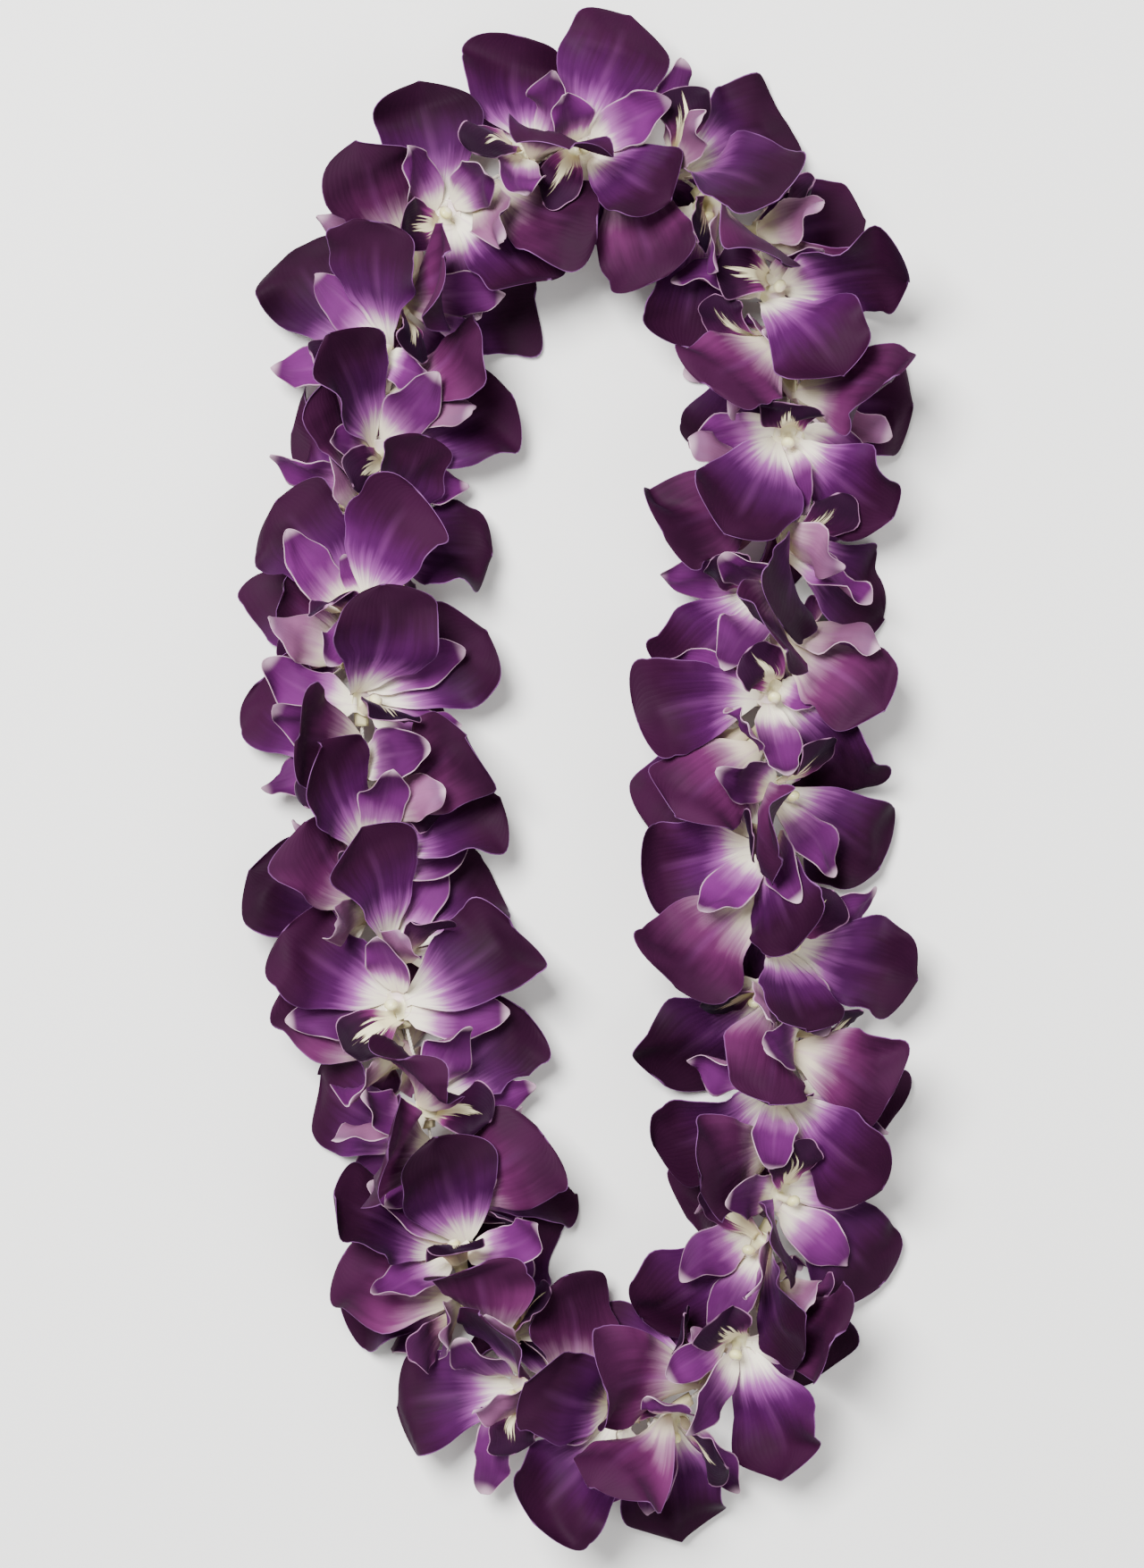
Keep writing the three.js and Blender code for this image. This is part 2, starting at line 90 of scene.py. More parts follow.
# %% Lay the table
def linear(code):
    """A six-digit colour code as the linear values that Blender uses."""
    parts = [int(code[i:i + 2], 16) / 255 for i in (0, 2, 4)]
    return tuple(p / 12.92 if p <= 0.04045 else ((p + 0.055) / 1.055) ** 2.4 for p in parts) + (1,)


def new_finish(name):
    """A material, its node tree and the Principled BSDF in it."""
    finish = bpy.data.materials.new(name)
    finish.use_nodes = True
    return finish, finish.node_tree, finish.node_tree.nodes["Principled BSDF"]


table_finish, _, table_surface = new_finish("pale_table")
table_surface.inputs["Base Color"].default_value = linear("f4f3f1")
table_surface.inputs["Roughness"].default_value = 0.9

FAR = 3
table_mesh = bpy.data.meshes.new("table")
table_mesh.from_pydata([(-FAR, -FAR, 0), (FAR, -FAR, 0), (FAR, FAR, 0), (-FAR, FAR, 0)], [],
                       [(0, 1, 2, 3)])
table_mesh.materials.append(table_finish)
table = new_object("table", table_mesh)
print("table laid")


# %% Hang the soft lights
def soft_light(name, place, size, power):
    """A square panel of light that looks at the middle of the table."""
    data = bpy.data.lights.new(name, "AREA")
    data.shape, data.size, data.energy = "SQUARE", size, power
    lamp = new_object(name, data)
    lamp.location = place
    x, y, z = place
    lamp.rotation_euler = (math.atan2(math.hypot(x, y), z), 0, math.atan2(-y, -x) - math.pi / 2)


soft_light("panel_overhead", (-0.5, 0.55, 1.6), 0.7, 84)
soft_light("panel_across", (0.9, -0.7, 1.2), 1.2, 12)

studio = bpy.data.worlds.new("studio")
studio.use_nodes = True
sky = studio.node_tree.nodes["Background"].inputs
sky["Color"].default_value = (1, 1, 1, 1)
sky["Strength"].default_value = 0.52
bpy.context.scene.world = studio

# %% [markdown]
# ## The thread's route
# The thread is a closed loop of cotton about 0.9 m long. Its route is a smooth curve through
# points read off the picture, in millimetres. A Catmull-Rom curve passes through every
# point, and a list of lengths along it turns a distance into a place.

# %% Draw the route
THREAD_ROUTE = [
    (3, 202), (29, 197), (51, 178), (65, 148), (69, 113), (66, 77), (62, 41), (61, 5), (63, -31),
    (67, -67), (66, -101), (63, -134), (55, -165), (38, -190), (13, -196), (-13, -186),
    (-31, -158), (-41, -122), (-48, -87), (-56, -56), (-62, -23), (-65, 13), (-66, 52),
    (-63, 91), (-59, 127), (-51, 161), (-33, 188),
]
THREAD_HEIGHT = 16.5
THREAD_RADIUS = 0.6
UP = np.array((0.0, 0.0, 1.0))
route_points = np.array([(x, y, THREAD_HEIGHT) for x, y in THREAD_ROUTE], float)


def unit(v):
    return v / np.linalg.norm(v, axis=-1, keepdims=True)


def on_curve(t):
    """Places on the closed curve, for t from 0 to 1."""
    count = len(route_points)
    step = np.atleast_1d(np.asarray(t, float)) * count
    low = np.floor(step).astype(int)
    x = (step - low)[:, None]
    before, here, there, after = [route_points[(low + k) % count] for k in (-1, 0, 1, 2)]
    leave, arrive = (there - before) / 2, (after - here) / 2
    return (here + leave * x + (3 * (there - here) - 2 * leave - arrive) * x ** 2
            + (2 * (here - there) + leave + arrive) * x ** 3)


route_steps = np.linspace(0, 1, 201)
step_lengths = np.linalg.norm(np.diff(on_curve(route_steps), axis=0), axis=1)
length_so_far = np.concatenate([[0], np.cumsum(step_lengths)])
ROUTE_LENGTH = length_so_far[-1]


def thread_place(distance):
    """The place a distance along the thread, and the thread's way there."""
    along = np.atleast_1d(distance) % ROUTE_LENGTH
    t = np.interp(along, length_so_far, route_steps)
    way = on_curve(np.minimum(t + 1e-4, 1)) - on_curve(np.maximum(t - 1e-4, 0))
    return on_curve(t), unit(way)


print("thread", round(ROUTE_LENGTH, 1), "mm")

# %% [markdown]
# ## Seeded draws
# No two blossoms lie alike, yet every run must give the same scene. So each bend comes from a
# draw: four whole numbers go in and one number from 0 to 1 comes out, always the same. The CAD
# part makes the same draws, so both bend every petal alike.

# %% Define the draws
SEED = 29
LAST_32_BITS = np.uint64(0xFFFFFFFF)


def times(a, b):
    return (a * np.uint64(b)) & LAST_32_BITS


def draw(blossom, blade, item, attempt):
    """A number from 0 to 1 that depends only on its four whole-number keys."""
    keys = [np.atleast_1d(np.asarray(k)).astype(np.uint64) for k in
            (blossom + SEED, blade + 7, item + 13, np.asarray(attempt) + 29)]
    h = times(keys[0], 374761393) ^ times(keys[1], 668265263)
    h = h ^ times(keys[2], 2246822519) ^ times(keys[3], 3266489917)
    h = times(h ^ (h >> np.uint64(15)), 0x2C1B3C6D)
    h = times(h ^ (h >> np.uint64(12)), 0x297A2D39)
    return (h ^ (h >> np.uint64(15))).astype(float) / 4294967296


def centred(*keys):
    return draw(*keys) - 0.5


print("first draws", np.round(draw(0, 0, 0, np.arange(4)), 3))

# %% [markdown]
# ## How a blossom sits
# The needle goes in at the neck and out under the throat, so the thread carries the blossom like
# a bead. Going round the loop, each blossom is turned on from the last, as a stringer turns them
# to fill the garland on all sides but the one it lies on. Its face leans outwards.

# %% Place every blossom on the thread
BLOSSOM_COUNT = 58
NECK_LENGTH, STATION_SPREAD = 7.8, 0.1
THROAT_RADIUS, THROAT_ABOVE_THREAD, THROAT_FRONT = 4.6, 2.5, 4.6
COLUMN_LENGTH = 7.0
TURN_STEP, WIDEST_ROLL, ROLL_SPREAD = 137.5, 112, 30
TILT, TILT_SPREAD, SPIN_SPREAD = 70, 30, 50


def station_of(blossom):
    """Where the neck starts and the throat ends, as distances along the thread."""
    place = blossom + STATION_SPREAD * centred(blossom, 0, 90, 0)
    middle = place * ROUTE_LENGTH / BLOSSOM_COUNT
    return middle - NECK_LENGTH, middle + THROAT_FRONT


def blossom_frame(blossom):
    """The blossom's place on the thread and the ways it looks, in millimetres."""
    rear, front = station_of(blossom)
    neck_end = thread_place(rear)[0][0]
    along = unit(thread_place(front)[0][0] - neck_end)
    inward = unit(np.cross(along, UP))
    turn = (TURN_STEP * blossom) % 360
    turn = turn - 360 if turn > 180 else turn
    roll = math.radians(turn * WIDEST_ROLL / 180 + ROLL_SPREAD * centred(blossom, 0, 91, 0)[0])
    tilt = math.radians(TILT + TILT_SPREAD * centred(blossom, 0, 92, 0)[0])
    spin = math.radians(SPIN_SPREAD * centred(blossom, 0, 93, 0)[0])
    out = UP * math.cos(roll) + inward * math.sin(roll)
    face = along * math.cos(tilt) + out * math.sin(tilt)
    crown = along * math.sin(tilt) - out * math.cos(tilt)
    beside = np.cross(face, crown)
    dorsal = crown * math.cos(spin) + beside * math.sin(spin)
    lift = THROAT_ABOVE_THREAD + THROAT_RADIUS * math.cos(tilt)
    return {"neck_end": neck_end, "along": along, "out": out, "beside": beside, "face": face,
            "dorsal": dorsal, "flank": np.cross(face, dorsal),
            "heart": neck_end + along * NECK_LENGTH + out * lift}


frames = [blossom_frame(b) for b in range(BLOSSOM_COUNT)]
print("blossoms face up", sum(f["face"][2] > 0.5 for f in frames), "of", len(frames))

# %% [markdown]
# ## The kinds of blade
# A dendrobium has three sepals behind and three petals in front, one of which is the lip. Each
# kind has a usual size and carriage, as a mean with the spread round it. A petal is widest far
# out, a sepal near its middle.

# %% Describe petals, sepals and lip
BLADES = {
    "petal": dict(length=40, half_width=15, root=1.6, rise=0.95, fall=0.4, lift=-0.2,
                  open=(50, 20), curl=(26, 40), sway=(8, 20), twist=(0, 36), cup=(16, 44),
                  ruffle=(1.4, 1.6), lean=(0.4, 0.3), stub=0.2, rows=(0.26, 0.58, 0.88)),
    "dorsal": dict(length=31, half_width=6.8, root=1.7, rise=0.8, fall=0.8, lift=0.8,
                   open=(34, 20), curl=(10, 50), sway=(0, 24), twist=(0, 40), cup=(16, 50),
                   ruffle=(0.4, 0.6), lean=(0.1, 0.2), stub=0.15, rows=(0.36,)),
    "lateral": dict(length=30, half_width=7, root=1.7, rise=0.7, fall=0.8, lift=-0.9,
                    open=(64, 24), curl=(16, 50), sway=(0, 24), twist=(0, 40), cup=(22, 46),
                    ruffle=(0.5, 0.6), lean=(0.3, 0.4), stub=0.15, rows=(0.36,)),
    "lip": dict(length=22, half_width=8, root=2.4, rise=1.1, fall=0.4, lift=0.3,
                open=(20, 14), curl=(70, 40), sway=(0, 16), twist=(0, 16), cup=(60, 16),
                ruffle=(0.8, 0.8), lean=(0, 0.1), stub=0.18, rows=(0.36, 0.78)),
}
FLOWER = [("dorsal", 0, 1), ("petal", 60, 1), ("lateral", 118, 1), ("lip", 180, 1),
          ("lateral", 242, -1), ("petal", 300, -1)]
LOOSE_AFTER, FREE_DRAWS, MOST_DRAWS, SHORTEST = 24, 48, 240, 0.4
LENGTH_SPREAD, WIDTH_SPREAD = 0.14, 0.12


def carriage(blossom, index, attempts):
    """How a blade is bent at each of these attempts. Late attempts also make it smaller."""
    kind, around, side = FLOWER[index]
    form = BLADES[kind]
    attempts = np.atleast_1d(attempts)
    loose = np.minimum(attempts / LOOSE_AFTER, 1)
    late = np.maximum(0, attempts - FREE_DRAWS) / (MOST_DRAWS - FREE_DRAWS)
    shrink = 1 - (1 - SHORTEST) * late

    def pick(item, usual, more=0):
        return (usual[0] + usual[1] * centred(blossom, index, item, 0)
                + more * loose * centred(blossom, index, item, attempts))

    length = form["length"] * (1 + LENGTH_SPREAD * centred(blossom, index, 9, 0))
    width = form["half_width"] * (1 + WIDTH_SPREAD * centred(blossom, index, 10, 0))
    return dict(
        root=np.radians(around) + 0 * loose, around=np.radians(around + pick(0, (0, 16), 100)),
        open=np.radians(pick(1, form["open"], 80)), curl=np.radians(pick(2, form["curl"], 80)),
        sway=np.radians(side * pick(3, form["sway"], 30)),
        twist=np.radians(pick(4, form["twist"], 90)), cup=np.radians(pick(5, form["cup"], 30)),
        ruffle=pick(6, form["ruffle"]), wave=2 * np.pi * draw(blossom, index, 7, 0) + 0 * loose,
        lean=pick(8, form["lean"], 0.9), length=length * shrink,
        half_width=width * np.sqrt(shrink))


def stub_carriage(blossom, index, share):
    """A blade that found no room stays short and straight."""
    form = BLADES[FLOWER[index][0]]
    bend = carriage(blossom, index, 0)
    bend["length"] = bend["length"] * form["stub"] * share
    bend["half_width"] = bend["half_width"] * 0 + form["root"]
    for key in ("curl", "sway", "twist", "cup", "ruffle", "lean"):
        bend[key] = bend[key] * 0
    return bend


print("blades in all", BLOSSOM_COUNT * len(FLOWER))

# %% [markdown]
# ## Bending a blade
# A blade is a midrib with a width across it. The midrib leaves the throat's rim at an angle and
# bends back step by step. Across it, the blade is an arc that can be cupped, twisted and
# ruffled. Whatever would go under the table is eased up on to it, as weight does to petals.

# %% Define midrib and surface
STEPS = 24
PRESS_FROM, PRESS_DEPTH = 10, 14
HALF_THICKNESS = 0.35
SQUEEZE, SPREAD, MOST_SPREAD = 0.12, 0.6, 0.2
ROOM_FOR_WAVES, UNEVEN, SKEWED = 0.5, 0.04, 0.07
FOOT_SPREAD, FOOT_REACH = 0.7, 0.09


def spoke(f, angle):
    """A way in the plane of the blossom's face, by its angle from the dorsal sepal."""
    return np.cos(angle)[..., None] * f["dorsal"] + np.sin(angle)[..., None] * f["flank"]


def midribs(f, kind, bend):
    """Places and axes at even steps along the midrib, one row for each bend."""
    s = np.arange(STEPS + 1) / STEPS
    opening = bend["open"][:, None] + bend["curl"][:, None] * s ** 1.4
    around = bend["around"][:, None] + bend["sway"][:, None] * s
    heading = unit(np.cos(opening)[..., None] * f["face"]
                   + np.sin(opening)[..., None] * spoke(f, around)
                   + (bend["lean"][:, None] * s)[..., None] * f["along"])
    across = spoke(f, around + np.pi / 2)
    across = unit(across - (across * heading).sum(-1, keepdims=True) * heading)
    start = (f["heart"] + spoke(f, bend["root"]) * THROAT_RADIUS
             + f["face"] * BLADES[kind]["lift"])
    moves = heading * (bend["length"] / STEPS)[:, None, None]
    place = start[:, None] + np.cumsum(moves, axis=1) - moves
    return place, across, np.cross(heading, across)


def pressed(points):
    """Settles what lies low towards the table, in the order in which it was."""
    points = points.copy()
    depth = np.maximum(PRESS_FROM - points[:, 2], 0)
    settled = PRESS_FROM - PRESS_DEPTH * (1 - np.exp(-depth / PRESS_DEPTH))
    points[:, 2] = np.where(depth > 0, np.maximum(settled, HALF_THICKNESS), points[:, 2])
    return points


def half_width_at(kind, half_width, s, blunt=None):
    """Half the blade's width. Given blunt, from -1 for a point to 1 for a round tip, the tip is
    softer and the root is wide enough to close up to its neighbours."""
    form = BLADES[kind]
    rise, fall = form["rise"], form["fall"]

    def outline(x):
        return np.maximum(x, 0) ** rise * np.maximum(1 - x, 0) ** fall

    wide, foot = outline(s), form["root"]
    if blunt is not None:
        if fall < 0.6:
            start, power = 0.8, 0.75 - 0.25 * blunt
            bulge = (outline(0.88) / outline(0.8) / 0.6 ** 0.75 - 1) / 0.4
        else:
            start, power, bulge = 0.7, 0.6 - 0.15 * blunt, 0.06
        x = np.clip((s - start) / (1 - start), 0, 1)
        wide = np.where(s > start, outline(start) * (1 - x) ** power * (1 + bulge * x), wide)
        foot = foot + FOOT_SPREAD * np.exp(-(s / FOOT_REACH) ** 2)
    widest = outline(rise / (rise + fall))
    return foot * np.maximum(1 - s, 0) ** 1.5 + half_width * wide / widest


print("a petal's widest half", round(float(half_width_at("petal", 15, np.array(0.7))), 2), "mm")


# %% Define the blade's middle surface
def blade_surface(f, kind, bend, s, w, fine=False, room=0, creased=0):
    """Points of one blade: s runs from root to tip, and w from -1 to 1 across.

    With fine, the blade waves and spreads where it has room, in mm, and is squeezed where it
    has none. The creases are added to its lift."""
    ribs = [rows[0] for rows in midribs(f, kind, bend)]
    low = np.clip(np.floor(s * STEPS).astype(int), 0, STEPS - 1)
    mix = (s * STEPS - low)[:, None]
    place, across, upper = [rows[low] * (1 - mix) + rows[low + 1] * mix for rows in ribs]
    cup, twist, ruffle, wave = [bend[k][0] for k in ("cup", "twist", "ruffle", "wave")]
    blunt = np.sin(3 * wave) if fine else None
    half = half_width_at(kind, bend["half_width"][0], s, blunt)
    if fine:
        free = np.minimum(room / ROOM_FOR_WAVES, 1)
        outer = np.clip(3 * s - 0.6, 0, 1)
        half = half * (1 + UNEVEN * free * np.sin(8.5 * s + 2 * wave)
                       + SKEWED * free * w * np.sin(11 * s + 5 * wave)
                       - SQUEEZE * (1 - free) * outer)
        half = half + SPREAD * np.minimum(room, MOST_SPREAD * half) * outer * np.abs(w) ** 1.5
    if kind == "lip":
        arc = cup * np.maximum(0, 1 - s / 0.62) - 0.25 * s
    else:
        arc = cup * (1 - 0.35 * s)
    arc = np.where(np.abs(arc) < 0.02, 0.02, arc)
    sideways = half * np.sin(w * arc) / arc
    lift = (half * (1 - np.cos(w * arc)) / arc
            + ruffle * np.abs(w) ** 1.6 * s * np.sin(9 * s + wave + 2.2 * w))
    if fine:
        lift = lift + fine_relief(s, w, half, wave, ruffle * free) + creased
    turn = twist * s
    return pressed(place + unit(across) * (sideways * np.cos(turn) - lift * np.sin(turn))[:, None]
                   + unit(upper) * (sideways * np.sin(turn) + lift * np.cos(turn))[:, None])


GROOVE_DEPTH, GROOVE_WIDTH = 0.45, 1.3
WAVE_HEIGHT, MOST_RUFFLE = 0.42, 1.6


def fine_relief(s, w, half, wave, ruffle):
    """The groove over the midrib and the small waves of the margin, too fine for the CAD."""
    inner = np.clip(s * 4, 0, 1) * np.clip((1 - s) * 3, 0, 1)
    groove = -GROOVE_DEPTH * np.exp(-(w * half / GROOVE_WIDTH) ** 2) * inner
    margin = WAVE_HEIGHT * np.minimum(ruffle, MOST_RUFFLE) * np.abs(w) ** 3 * inner
    return groove + margin * np.sin(26 * s + 3 * wave + 4 * w)


print("blade surface ready")

# %% [markdown]
# ## Finding the bend each blade took
# In the CAD part a blade tries one draw after another until it has room between its neighbours.
# The scene only sees the result: the right draw puts the blade's tip and the middles of its
# rows on the CAD mesh, within half its thickness. The part was centred, so the thread's box
# first tells by how much it was shifted.

# %% Match each blade with its CAD node
MATCH_SLACK = 0.06

thread_low, thread_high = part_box("thread")
rings = np.concatenate([np.concatenate(station_of(b)) for b in range(BLOSSOM_COUNT)])
ring_places, ring_ways = thread_place(rings)
ring_sides = unit(np.cross(ring_ways, UP))
corner_angles = 2 * np.pi * np.arange(5) / 5
tube = (ring_places[:, None] + THREAD_RADIUS * (np.cos(corner_angles)[:, None] * UP
        + np.sin(corner_angles)[:, None] * ring_sides[:, None])).reshape(-1, 3)
shift = np.array([thread_low[0] / MM - tube[:, 0].min(),
                  thread_high[1] / MM - tube[:, 1].max(), 0])


def node_points(name):
    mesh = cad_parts[name].data
    flat = np.empty(len(mesh.vertices) * 3, np.float32)
    mesh.vertices.foreach_get("co", flat)
    return np.unique(flat.reshape(-1, 3).astype(float) / MM - shift, axis=0)


def distance_to(points, cloud):
    return np.sqrt(((points[:, None] - cloud[None]) ** 2).sum(-1)).min(1)


def accepted_bend(blossom, index, cloud):
    """The bend whose tip and row middles lie on the CAD node."""
    kind = FLOWER[index][0]
    f = frames[blossom]
    tries = carriage(blossom, index, np.arange(MOST_DRAWS))
    tips = pressed(midribs(f, kind, tries)[0][:, -1])
    near = np.flatnonzero(distance_to(tips, cloud) < HALF_THICKNESS + MATCH_SLACK)
    bends = [{k: v[a:a + 1] if len(v) > 1 else v for k, v in tries.items()} for a in near]
    drawn = len(bends)
    bends += [stub_carriage(blossom, index, share) for share in (1, 0.7, 0.5, 0.35)]
    s = np.array([*BLADES[kind]["rows"], 1.0])
    misses = [distance_to(blade_surface(f, kind, b, s, 0 * s), cloud).max() for b in bends]
    best = int(np.argmin(misses))
    return bends[best], misses[best], best >= drawn


bends, worst, stubs = [], 0, 0
for blossom in range(BLOSSOM_COUNT):
    cloud = node_points(f"blossom_{blossom + 1:02d}")
    found = [accepted_bend(blossom, index, cloud) for index in range(len(FLOWER))]
    bends.append([bend for bend, _, _ in found])
    worst = max([worst] + [miss for _, miss, _ in found])
    stubs += sum(stub for _, _, stub in found)
print("shift", np.round(shift, 3), "worst miss", round(float(worst), 3), "mm, stubs", stubs)

# %% [markdown]
# ## Room for creases
# Threading and packing crease the petals of a real lei: margins wave, sides fold and tips bend
# away. A crease may be only as deep as the free room beside it, or petals would cut through one
# another. So the room round every point is measured first, to the points of all other blades.
# It scales the creases, and a blade with room also spreads a little.

# %% Measure the room round every blade
BLADE_GRIDS = {"petal": (29, 17), "dorsal": (23, 11), "lateral": (23, 11), "lip": (25, 17)}
ROOT_INSIDE, ROWS_CLOSE_UP = -0.045, 1.7
DEEPEST_CREASE = {"petal": 7.5, "dorsal": 4.5, "lateral": 4.5, "lip": 2.2}
REACH, GRID_SLACK, KEPT_APART = 16, 1.5, 0.9


def blade_grid(kind):
    """Rows from root to tip, columns from margin to margin, and both spread over the grid."""
    rows, columns = BLADE_GRIDS[kind]
    s = np.concatenate([[ROOT_INSIDE], 1 - (1 - np.linspace(0, 1, rows)) ** ROWS_CLOSE_UP])
    w = np.sin(np.linspace(-np.pi / 2, np.pi / 2, columns))
    return s, w, *[g.ravel() for g in np.meshgrid(s, w, indexing="ij")]


blades = [(b, i, FLOWER[i][0]) for b in range(BLOSSOM_COUNT) for i in range(len(FLOWER))]
smooth = [blade_surface(frames[b], kind, bends[b][i], *blade_grid(kind)[2:], fine=True)
          for b, i, kind in blades]
owners = np.repeat(np.arange(len(blades)), [len(points) for points in smooth])
everything = np.concatenate(smooth)


def over_window(grid, how):
    """Replaces each value by the mean or least of the nine round it."""
    padded = np.pad(grid, 1, mode="edge")
    rows, columns = grid.shape
    return how([padded[i:i + rows, j:j + columns] for i in range(3) for j in range(3)], axis=0)


def free_room(number):
    """How far each point of a blade may move before it comes near another blade."""
    own, (_, _, kind) = smooth[number], blades[number]
    low, high = own.min(0) - REACH, own.max(0) + REACH
    near = everything[(owners != number) & (everything > low).all(1) & (everything < high).all(1)]
    squares = (own ** 2).sum(1)[:, None] + (near ** 2).sum(1) - 2 * own @ near.T
    gap = np.sqrt(np.maximum(squares.min(1) - GRID_SLACK ** 2, 0))
    room = np.clip((gap - KEPT_APART) / 2, 0, DEEPEST_CREASE[kind])
    rows, columns = BLADE_GRIDS[kind]
    return over_window(over_window(room.reshape(rows + 1, columns), np.min), np.mean).ravel()


rooms = [free_room(number) for number in range(len(blades))]
print("mean room", round(float(np.concatenate(rooms).mean()), 2), "mm")


# %% Shape the creases
MARGIN_SHARE, FOLD_SHARE, TIP_SHARE = 0.8, 0.55, 0.8


def creases(blossom, index, s, w):
    """Wavy margins, a slanting fold and a bent tip, from -1 to 1."""
    turns = [2 * np.pi * draw(blossom, index, item, 0)[0] for item in range(62, 67)]
    margins = (np.maximum(-w, 0) ** 1.8 * np.sin(9 * s + turns[0])
               + np.maximum(w, 0) ** 1.8 * np.sin(11 * s + turns[1]))
    fold = 1 - 2 * np.abs(np.sin(2.6 * s + 1.5 * w * np.cos(turns[2]) + turns[3])) ** 0.9
    fade = np.clip(s * 3, 0, 1) * np.clip((1 - s) * 5, 0, 1)
    tip = TIP_SHARE * np.sin(turns[4]) * np.clip(s, 0, 1) ** 4
    return np.clip(fade * (MARGIN_SHARE * margins + FOLD_SHARE * fold) + tip, -1, 1)


print("creases of a petal", np.round(creases(0, 1, np.array([0.3, 0.6, 0.9]), np.ones(3)), 2))

# %% [markdown]
# ## From a surface to a blade
# A petal is a fleshy sheet, under a millimetre thick and thinner at its margin. It is built from
# its own rows and columns, not by a Solidify modifier, so that both can stand closer where the
# outline turns fast: rows at the tip and columns at the margin. Each point also keeps its place
# on the blade as attributes, which the shader reads.

# %% Build one closed sheet from rows and columns
MATERIAL_OF = {"petal": 0, "dorsal": 1, "lateral": 1, "lip": 2}
HALF_SHEET, THINNER_MARGIN, THINNER_TIP, SHEET_LOWEST = 0.27, 0.14, 0.35, 0.02


def sheet_faces(rows, columns):
    """Faces of a closed sheet: front rows, a front tip, back rows, a back tip. Front and back
    start each face at the same corner, so both split it along the same diagonal."""
    tip = rows * columns
    under = tip + 1
    grid = np.arange(tip).reshape(rows, columns)
    a, b, c, d = grid[:-1, :-1], grid[1:, :-1], grid[1:, 1:], grid[:-1, 1:]
    front = np.stack([a, b, c, d], -1).reshape(-1, 4)
    back = np.stack([a, d, c, b], -1).reshape(-1, 4) + under
    left, right, root = grid[:, 0], grid[:, -1], grid[0]
    edges = [(left[:-1], left[1:]), (right[1:], right[:-1]), (root[1:], root[:-1])]
    rim = [np.stack([p, p + under, q + under, q], -1) for p, q in edges]
    faces = np.concatenate([front, back, *rim]).tolist()
    last = grid[-1].tolist()
    faces += [[p, tip, q] for p, q in zip(last, last[1:])]
    faces += [[q + under, tip + under, p + under] for p, q in zip(last, last[1:])]
    faces += [[last[0], last[0] + under, tip + under, tip],
              [tip, tip + under, last[-1] + under, last[-1]]]
    return faces


def blade_part(f, blossom, index, bend):
    """One blade as points, faces and the values that its shader reads."""
    kind = FLOWER[index][0]
    rows, columns = BLADE_GRIDS[kind]
    s, w, grid_s, grid_w = blade_grid(kind)
    room = rooms[blossom * len(FLOWER) + index]
    creased = room * creases(blossom, index, grid_s, grid_w)
    middle = blade_surface(f, kind, bend, grid_s, grid_w, True, room, creased)
    middle = middle.reshape(rows + 1, columns, 3)
    normal = np.cross(*np.gradient(middle, axis=(0, 1)))
    normal[-1] = normal[-2].mean(0)
    normal = unit(normal)
    thick = ((HALF_SHEET - THINNER_MARGIN * np.abs(w)[None] ** 3)
             * (1 - THINNER_TIP * np.clip(s, 0, 1))[:, None])
    points = []
    for side in (1, -1):
        sheet = middle + side * normal * thick[..., None]
        sheet[..., 2] = np.maximum(sheet[..., 2], SHEET_LOWEST)
        points += [sheet[:-1].reshape(-1, 3), sheet[-1:, columns // 2]]
    share, across = np.append(grid_s[:-columns], 1.0), np.append(grid_w[:-columns], 0.0)
    return dict(points=np.concatenate(points), faces=sheet_faces(rows, columns),
                share=np.tile(share, 2), across=np.tile(across, 2),
                back=np.repeat([0.0, 1.0], len(share)), tone=draw(blossom, index, 60, 0)[0],
                material=MATERIAL_OF[kind])


print("faces of a petal", len(sheet_faces(*BLADE_GRIDS["petal"])))

# %% [markdown]
# ## Throat, column and neck
# In the middle of the face stands the column, the orchid's joined stamen and style, with a pale
# cap over its pollen. Round its foot the throat spreads into a shallow cup, whose rim carries the
# blades, and behind it the blossom narrows to its cut neck. One skin of rings goes from the
# cap's top to the neck's end, and the rings lean over from the face to the thread.

# %% Build throat, column and neck as one skin
ROUND = 30
WAX, CAP, STALK = 3, 4, 5
COLUMN_PROFILE = [(7.5, 0.7, CAP), (7.25, 1.35, CAP), (6.7, 1.9, CAP), (5.9, 2.15, CAP),
                  (5.2, 2.1, CAP), (4.75, 1.75, CAP), (4.5, 1.45, WAX), (3.4, 1.5, WAX),
                  (2.0, 1.35, WAX), (0.8, 1.3, WAX), (-0.2, 1.45, WAX), (-0.7, 1.8, WAX)]
COLUMN_TOP, COLUMN_LEAN = 7.5, 0.9
RIM_LIFTS = [0.8, -0.2, -0.9, 0.3, -0.9, -0.2, 0.8]
THROAT_START, THROAT_FLOOR = 1.8, -0.9
NECK_THIN, NECK_BEND, NECK_RIB = 2.1, 3.4, 0.05
HEART_LOWEST = 0.05


